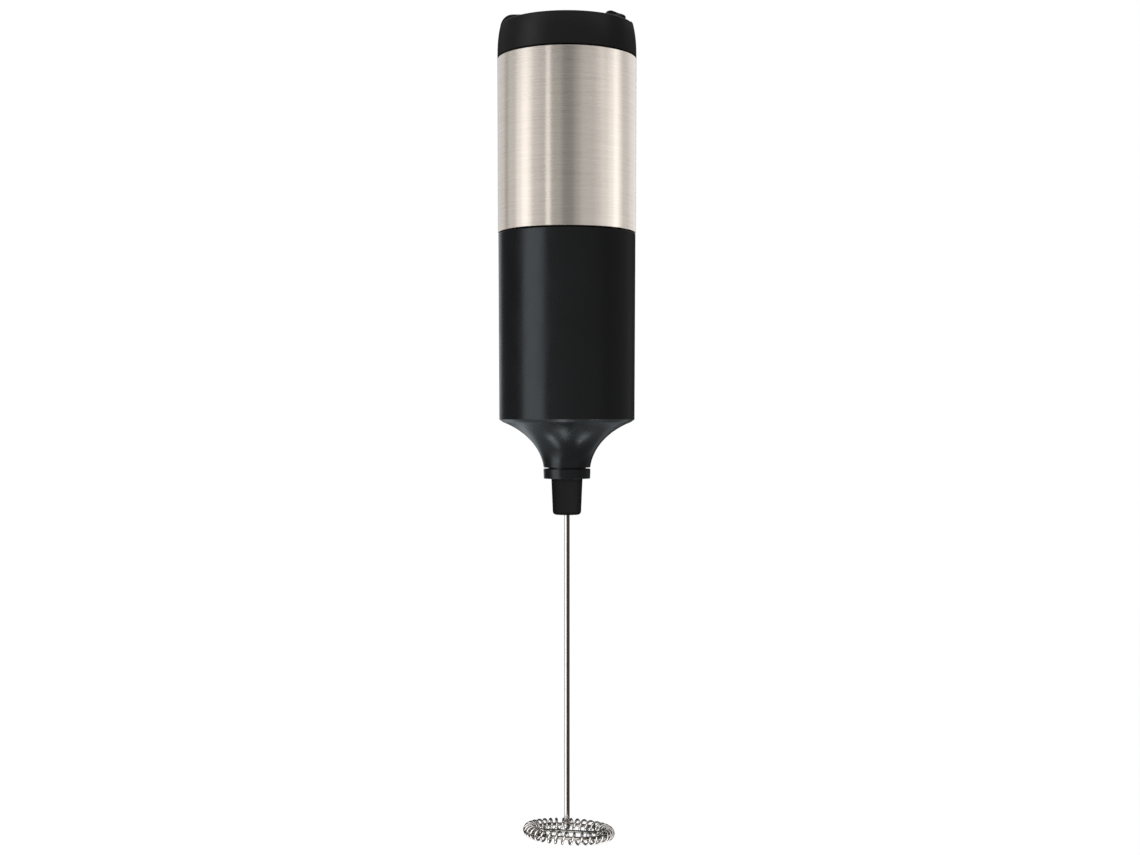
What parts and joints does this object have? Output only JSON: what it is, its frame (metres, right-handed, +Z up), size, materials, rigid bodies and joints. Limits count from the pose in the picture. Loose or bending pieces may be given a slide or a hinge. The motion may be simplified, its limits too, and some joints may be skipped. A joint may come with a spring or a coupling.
{
  "type": "milk frother",
  "caption": "Slim battery milk frother: steel and black round handle, flared nose, thin rod and coiled-wire whisk ring, with a slide switch on the cap.",
  "frame": {"origin": "on the handle's axis, at the seam between the steel battery cover and the black motor housing, the middle of the grip", "axes": "+Z up the handle's axis with the whisk pointing down, +X from the middle of the cap to the slide switch at rest, -Y the front"},
  "size_m": [0.0362, 0.0362, 0.2158],
  "materials": {
    "housing_plastic": "satin black",
    "cap_plastic": "matte black",
    "inner_plastic": "moulded black",
    "brushed_steel": "fine brushing round the sleeve",
    "wire_steel": "polished stainless wire",
    "sheet_steel": "plated",
    "bronze": "sintered",
    "copper": "enamelled copper",
    "iron": "stacked plates",
    "ferrite": "sintered magnet",
    "rubber": "moulded",
    "cell_wrap": "plain printed wrap",
    "insulation_red": "wire insulation",
    "insulation_black": "wire insulation"
  },
  "bodies": {
    "housing": {"lower_housing": "housing_plastic", "nose_collar": "housing_plastic", "shaft_seal": "rubber", "battery_cradle": "inner_plastic", "battery_left": "cell_wrap", "battery_right": "cell_wrap", "lower_spring_contact": "wire_steel", "lower_plate_contact": "sheet_steel", "motor_can": "sheet_steel", "motor_end_bell": "inner_plastic", "front_bush": "bronze", "rear_bush": "bronze", "magnet_front": "ferrite", "magnet_back": "ferrite", "brush_arm_negative": "copper", "brush_arm_positive": "copper", "front_motor_holder": "inner_plastic", "rear_motor_holder": "inner_plastic", "lead_wire_positive": "insulation_red", "lead_wire_negative": "insulation_black"},
    "rotor": {"armature_core": "iron", "winding_1": "copper", "winding_2": "copper", "winding_3": "copper", "commutator": "copper", "motor_shaft": "wire_steel"},
    "whisk": {"whisk_hub": "cap_plastic", "whisk_rod": "wire_steel", "whisk_hoop": "wire_steel", "whisk_coil": "wire_steel"},
    "cover": {"steel_sleeve": "brushed_steel", "sleeve_liner": "inner_plastic", "top_cap": "cap_plastic", "cap_contact_positive": "sheet_steel", "cap_contact_negative": "sheet_steel"},
    "switch": {"switch_knob": "cap_plastic", "switch_bridge": "copper"}
  },
  "joints": [
    {"name": "whisk_spin", "type": "hinge", "parent": "housing", "child": "rotor", "pos_m": [0, 0, -0.045], "axis": [0, 0, -1], "continuous": true},
    {"name": "whisk_pull", "type": "slide", "parent": "rotor", "child": "whisk", "axis": [0, 0, -1], "range_m": [0, 0.01]},
    {"name": "cover_lift", "type": "slide", "parent": "housing", "child": "cover", "axis": [0, 0, 1], "range_m": [0, 0.06]},
    {"name": "switch_slide", "type": "slide", "parent": "cover", "child": "switch", "axis": [-1, 0, 0], "range_m": [0, 0.0045]}
  ]
}
